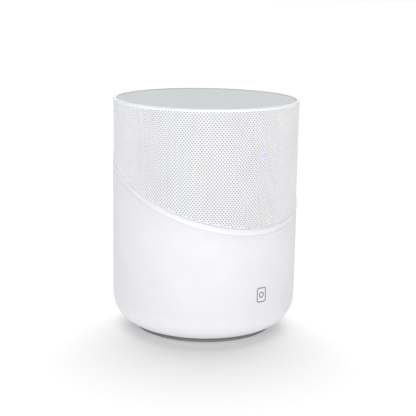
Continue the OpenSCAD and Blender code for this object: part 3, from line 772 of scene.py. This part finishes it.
def socket(name, node, outer, inner, floor_y, slot, edge=0.25 * MM, body="body"):
    """A block along Y with a cavity in its rear face, both edges chamfered. The outlines are in
    X and Z about the node's middle, counter-clockwise."""
    low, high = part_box(node)
    x0, z0 = (low.x + high.x) / 2, (low.z + high.z) / 2
    loops = [
        (outer, low.y),
        (outer, high.y - edge),
        (shifted(outer, -edge), high.y),
        (shifted(inner, edge), high.y),
        (inner, high.y - edge),
        (inner, floor_y),
    ]
    points, starts = [], []
    for shape, y in loops:
        starts.append(len(points))
        points += [(x0 + x, y, z0 + z) for x, z in shape]

    def band(i, flip=False):
        n = len(loops[i][0])
        a, b = starts[i], starts[i + 1]
        for j in range(n):
            k = (j + 1) % n
            yield (a + j, a + k, b + k, b + j) if flip else (a + j, b + j, b + k, a + k)

    faces = [f for i in (0, 1, 3, 4) for f in band(i)]
    middle = tuple(np.mean(loops[3][0], axis=0))
    rings = {"o": starts[2], "i": starts[3]}
    for face in stitch(loops[2][0], loops[3][0], middle):
        faces.append(tuple(rings[ring] + k for ring, k in face[::-1]))
    faces.append(tuple(starts[0] + j for j in range(len(outer))))
    faces.append(tuple(starts[5] + j for j in range(len(inner)))[::-1])
    made = piece(name, points, faces, slot, [node], body, crease=40)
    shell = bmesh.new()
    shell.from_mesh(made.data)
    bmesh.ops.recalc_face_normals(shell, faces=shell.faces)
    shell.to_mesh(made.data)
    shell.free()
    return made


def turned(name, node, profile, slot, body="body", steps=48):
    """A profile of (radius, depth along Y) turned about a node's middle, closed on itself."""
    low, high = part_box(node)
    x0, z0 = (low.x + high.x) / 2, (low.z + high.z) / 2
    n = len(profile)
    points = [
        (x0 + r * math.cos(a), y, z0 + r * math.sin(a))
        for a in np.linspace(0, 2 * math.pi, steps, endpoint=False)
        for r, y in profile
    ]
    faces = []
    for i in range(steps):
        a, b = i * n, (i + 1) % steps * n
        faces += [(a + j, a + (j + 1) % n, b + (j + 1) % n, b + j) for j in range(n)]
    return piece(name, points, faces, slot, [node], body, crease=35)


def size_of(node):
    """The size of a CAD node's box."""
    low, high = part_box(node)
    return high - low


CAVITY_Y = 52 * MM  # depth of the sockets' floors
NET_CAVITY_Y = 51 * MM
MAINS_W, MAINS_H = 16.6 * MM, 8 * MM
USB_W, USB_H = 12.5 * MM, 5.2 * MM

inlet = size_of("mains_inlet")
socket(
    "mains_socket",
    "mains_inlet",
    outline(inlet.x, inlet.z, 0.8 * MM, 7),
    outline(MAINS_W, MAINS_H, 3.99 * MM, 7),
    CAVITY_Y,
    "connector_plastic",
    0.35 * MM,
)

jack = size_of("ethernet_jack")
NET_W, NET_H, NET_BASE = 5.9 * MM, 8 * MM, 3.4 * MM
LATCH_W, LATCH_BASE = 3.2 * MM, 1.6 * MM
net_z = -jack.z / 2 + NET_BASE
latch_z = -jack.z / 2 + LATCH_BASE
socket(
    "network_socket",
    "ethernet_jack",
    outline(jack.x, jack.z, 0.4 * MM, 3),
    [(NET_W, net_z), (NET_W, net_z + NET_H), (-NET_W, net_z + NET_H), (-NET_W, net_z)]
    + [(-LATCH_W, net_z), (-LATCH_W, latch_z), (LATCH_W, latch_z), (LATCH_W, net_z)],
    NET_CAVITY_Y,
    "connector_shell",
    0.2 * MM,
)

usb = size_of("usb_port")
socket(
    "usb_socket",
    "usb_port",
    outline(usb.x, usb.z, 0.5 * MM, 4),
    outline(USB_W, USB_H, 0.4 * MM, 4),
    CAVITY_Y,
    "connector_shell",
    0.2 * MM,
)

button_low, button_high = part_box("service_button")
BUTTON_R, FLANGE_R = 1.75 * MM, size_of("service_button").x / 2
turned(
    "button_cap",
    "service_button",
    [(0.05 * MM, button_low.y), (FLANGE_R, button_low.y), (FLANGE_R, button_low.y + 0.8 * MM)]
    + [(BUTTON_R, button_low.y + 0.8 * MM), (BUTTON_R, button_high.y - 0.4 * MM)]
    + [(r, y) for r, y in arc(BUTTON_R - 0.4 * MM, button_high.y - 0.4 * MM, 0.4 * MM, 0, 90, 5)]
    + [(0.9 * MM, button_high.y - 0.12 * MM), (0.05 * MM, button_high.y - 0.2 * MM)],
    "button_plastic",
    body="service_button",
)

# ---------------------------------------------------------------- floor, light and camera

FLOOR_SIZE = 30.0
BACKDROP_R, BACKDROP_H = FLOOR_SIZE / 2 - 0.1, 3.4
BACKDROP_SIDES = 96


def studio_finish(name, color, glow):
    """A matt finish that also gives a little light of its own, as a lit studio does."""
    n = Nodes(name, color, 0.9, specular=0.0)
    n.shader.inputs["Emission Color"].default_value = (1, 1, 1, 1)
    n.shader.inputs["Emission Strength"].default_value = glow
    return n


def studio_surface(name, points, faces, finish):
    mesh = bpy.data.meshes.new(name)
    mesh.from_pydata(points, [], faces)
    mesh.materials.append(finish.material)
    surface = bpy.data.objects.new(name, mesh)
    bpy.context.scene.collection.objects.link(surface)


half = FLOOR_SIZE / 2
floor_finish = studio_finish("floor", (0.8, 0.8, 0.803), 0.2)
floor_finish.tint(floor_finish.spread(floor_finish.noise(3, 2), 0, 1), 0.997, 1.003)
studio_surface(
    "floor",
    [(-half, -half, 0), (half, -half, 0), (half, half, 0), (-half, half, 0)],
    [(0, 1, 2, 3)],
    floor_finish,
)

turns = np.linspace(0, 2 * math.pi, BACKDROP_SIDES, endpoint=False)
rounds = [(BACKDROP_R * math.cos(a), BACKDROP_R * math.sin(a)) for a in turns]
following = [(i, (i + 1) % BACKDROP_SIDES) for i in range(BACKDROP_SIDES)]
studio_surface(
    "backdrop",
    [(x, y, z) for z in (0, BACKDROP_H) for x, y in rounds],
    [(i, k, k + BACKDROP_SIDES, i + BACKDROP_SIDES) for i, k in following],
    studio_finish("backdrop", (0.05, 0.05, 0.05), 0.5),
)

world = bpy.data.worlds.new("studio")
world.use_nodes = True
world.node_tree.nodes["Background"].inputs["Color"].default_value = (0.97, 0.98, 1.0, 1)
world.node_tree.nodes["Background"].inputs["Strength"].default_value = 0.04
bpy.context.scene.world = world
bpy.context.scene.view_settings.view_transform = "Standard"

VIEW_TURN = math.radians(-37)  # the camera stands to the left of the object's front


def around(turn, elevation, distance, height):
    """A place at an angle from the camera's own azimuth, at a distance from the axis."""
    a = VIEW_TURN + math.radians(turn)
    e = math.radians(elevation)
    out = Vector((math.sin(a) * math.cos(e), -math.cos(a) * math.cos(e), math.sin(e)))
    return out * distance + Vector((0, 0, height))


# The key light is a softbox beside the camera.
AIM = Vector((0, 0, TOP / 2))
KEY_SIZE = (0.55, 0.4)
key = bpy.data.lights.new("key", "AREA")
key.shape = "RECTANGLE"
key.size, key.size_y = KEY_SIZE
key.energy = 11.8
key_lamp = bpy.data.objects.new("key", key)
key_lamp.location = around(0, 3, 1.6, TOP / 2)
key_lamp.visible_camera = False
key_lamp.rotation_euler = (AIM - key_lamp.location).to_track_quat("-Z", "Y").to_euler()
bpy.context.scene.collection.objects.link(key_lamp)

# The wide overhead light stands behind the object, so that its soft shadow falls forward.
overhead = bpy.data.lights.new("overhead", "SUN")
overhead.energy = 3.68
overhead.angle = math.radians(80)
overhead_lamp = bpy.data.objects.new("overhead", overhead)
overhead_lamp.rotation_euler = around(180, 58, 1, 0).to_track_quat("Z", "Y").to_euler()
bpy.context.scene.collection.objects.link(overhead_lamp)

VIEW_UP = 12.5  # degrees above the horizon
VIEW_ROLL = math.radians(0.95)
TARGET = Vector((0, 0, 1.2776 * R))
DISTANCE = 11.814 * R
camera_data = bpy.data.cameras.new("camera")
camera_data.sensor_width = 36
camera_data.lens = 93.44
camera_data.shift_x = 0.0077
camera_data.clip_end = 60
camera = bpy.data.objects.new("camera", camera_data)
toward = around(0, VIEW_UP, 1, 0)
look = (-toward).to_track_quat("-Z", "Y").to_matrix().to_4x4()
camera.matrix_world = (
    Matrix.Translation(TARGET + toward * DISTANCE) @ look @ Matrix.Rotation(VIEW_ROLL, 4, "Z")
)
bpy.context.scene.collection.objects.link(camera)
bpy.context.scene.camera = camera
